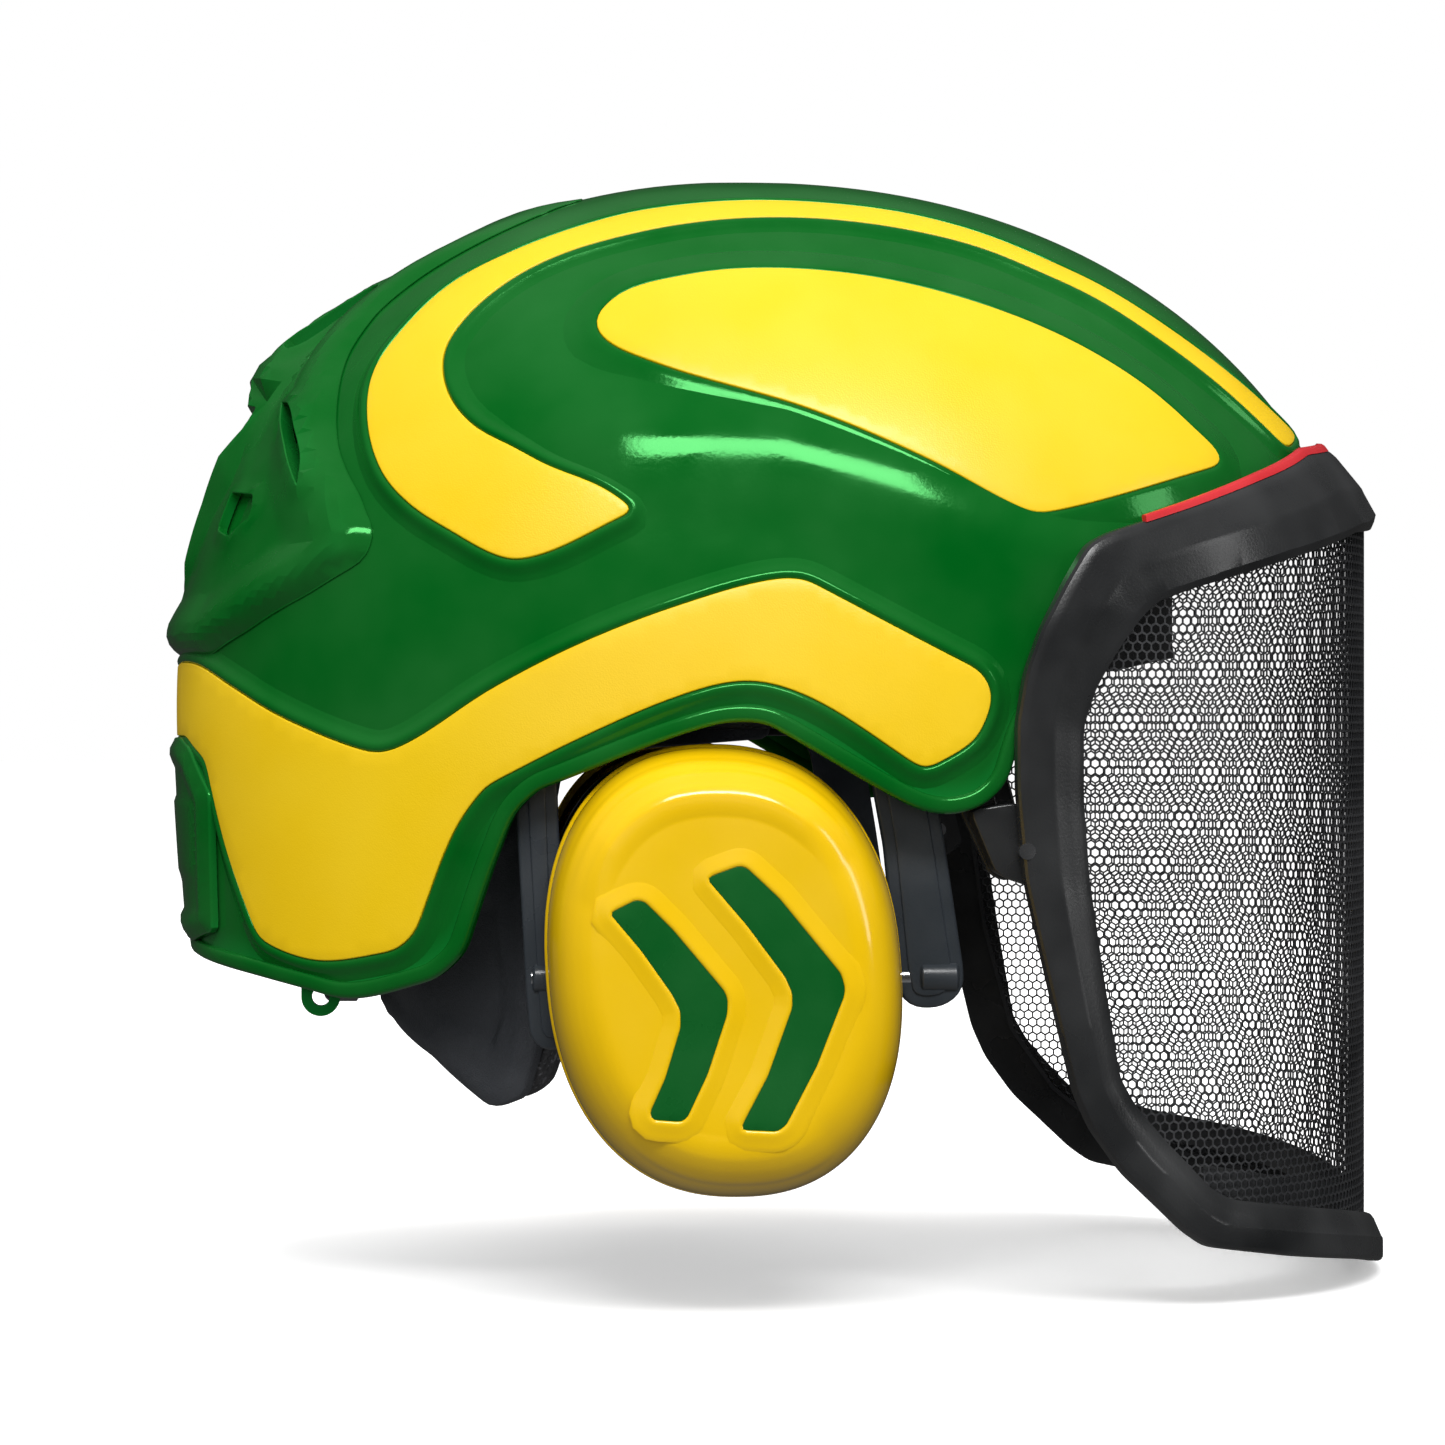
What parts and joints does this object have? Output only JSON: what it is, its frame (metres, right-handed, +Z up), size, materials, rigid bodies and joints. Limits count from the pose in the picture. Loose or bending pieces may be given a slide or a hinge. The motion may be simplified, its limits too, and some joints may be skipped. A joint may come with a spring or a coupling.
{
  "type": "forestry helmet",
  "caption": "Forestry helmet with a wide mesh visor that lifts, swing-out ear muffs on forks, coloured shell panels and a nape cradle with a size knob.",
  "frame": {"origin": "centre of the head opening, at the height of the headband", "axes": "+X forward towards the visor, +Y to the wearer's left, +Z up"},
  "size_m": [0.3231, 0.2626, 0.2866],
  "materials": {
    "shell_green": "glossy moulded",
    "panel_yellow": "satin",
    "liner_foam": "moulded foam",
    "webbing": "woven",
    "band_black": "satin",
    "pad_cloth": "knitted",
    "pin_steel": "brushed",
    "frame_black": "satin",
    "wire_mesh": "black coated",
    "trim_red": "glossy",
    "cradle_grey": "fine grain",
    "nape_foam": "open-cell foam",
    "fork_dark": "satin",
    "cup_yellow": "glossy",
    "inlay_green": "satin",
    "cup_black": "satin",
    "cushion_skin": "soft skin",
    "cup_foam": "open-cell foam"
  },
  "bodies": {
    "shell": {"outer_shell": "shell_green", "rear_cowl": "shell_green", "rear_cap": "shell_green", "clip_tabs": "shell_green", "side_band_right": "panel_yellow", "side_band_left": "panel_yellow", "eye_panel_right": "panel_yellow", "eye_panel_left": "panel_yellow", "crescent_right": "panel_yellow", "crescent_left": "panel_yellow", "eps_liner": "liner_foam", "crown_net": "webbing", "headband": "band_black", "brow_pad": "pad_cloth", "net_hooks": "band_black", "muff_guide_right": "band_black", "muff_guide_left": "band_black", "visor_pivots": "pin_steel"},
    "visor": {"visor_frame": "frame_black", "visor_mesh": "wire_mesh", "brow_trim": "trim_red", "visor_arm_right": "frame_black", "visor_arm_left": "frame_black", "visor_rivets": "pin_steel"},
    "slider_right": {"muff_slider_right": "fork_dark", "hinge_pin_right": "pin_steel"},
    "fork_right": {"muff_fork_right": "fork_dark", "cup_pins_right": "pin_steel"},
    "cup_right": {"cup_shell_right": "cup_yellow", "cup_inlays_right": "inlay_green", "cup_base_right": "cup_black", "ear_cushion_right": "cushion_skin", "cup_foam_right": "cup_foam"},
    "slider_left": {"muff_slider_left": "fork_dark", "hinge_pin_left": "pin_steel"},
    "fork_left": {"muff_fork_left": "fork_dark", "cup_pins_left": "pin_steel"},
    "cup_left": {"cup_shell_left": "cup_yellow", "cup_inlays_left": "inlay_green", "cup_base_left": "cup_black", "ear_cushion_left": "cushion_skin", "cup_foam_left": "cup_foam"},
    "cradle": {"nape_cradle": "cradle_grey", "nape_foam": "nape_foam", "knob_shaft": "cradle_grey"},
    "knob": {"size_knob": "band_black"}
  },
  "joints": [
    {"name": "visor_hinge", "type": "hinge", "parent": "shell", "child": "visor", "pos_m": [0.035, 0, 0.035], "axis": [0, -1, 0], "range_deg": [0, 55]},
    {"name": "muff_height_right", "type": "slide", "parent": "shell", "child": "slider_right", "axis": [0, 0, -1], "range_m": [0, 0.018]},
    {"name": "muff_swing_right", "type": "hinge", "parent": "slider_right", "child": "fork_right", "pos_m": [-0.01, -0.0985, 0.012], "axis": [-1, 0, 0], "range_deg": [0, 11]},
    {"name": "cup_tilt_right", "type": "hinge", "parent": "fork_right", "child": "cup_right", "pos_m": [-0.011, -0.0985, -0.052], "axis": [1, 0, 0], "range_deg": [-3.5, 3.5]},
    {"name": "muff_height_left", "type": "slide", "parent": "shell", "child": "slider_left", "axis": [0, 0, -1], "range_m": [0, 0.018]},
    {"name": "muff_swing_left", "type": "hinge", "parent": "slider_left", "child": "fork_left", "pos_m": [-0.01, 0.0985, 0.012], "axis": [1, 0, 0], "range_deg": [0, 11]},
    {"name": "cup_tilt_left", "type": "hinge", "parent": "fork_left", "child": "cup_left", "pos_m": [-0.011, 0.0985, -0.052], "axis": [1, 0, 0], "range_deg": [-3.5, 3.5]},
    {"name": "cradle_slide", "type": "slide", "parent": "shell", "child": "cradle", "axis": [1, 0, 0], "range_m": [0, 0.015]},
    {"name": "knob_turn", "type": "hinge", "parent": "cradle", "child": "knob", "pos_m": [-0.101, 0, -0.047], "axis": [1, 0, 0], "range_deg": [0, 172]}
  ],
  "couplings": [
    {"joint": "knob_turn", "follows": "cradle_slide", "rad_per_m": 200}
  ]
}
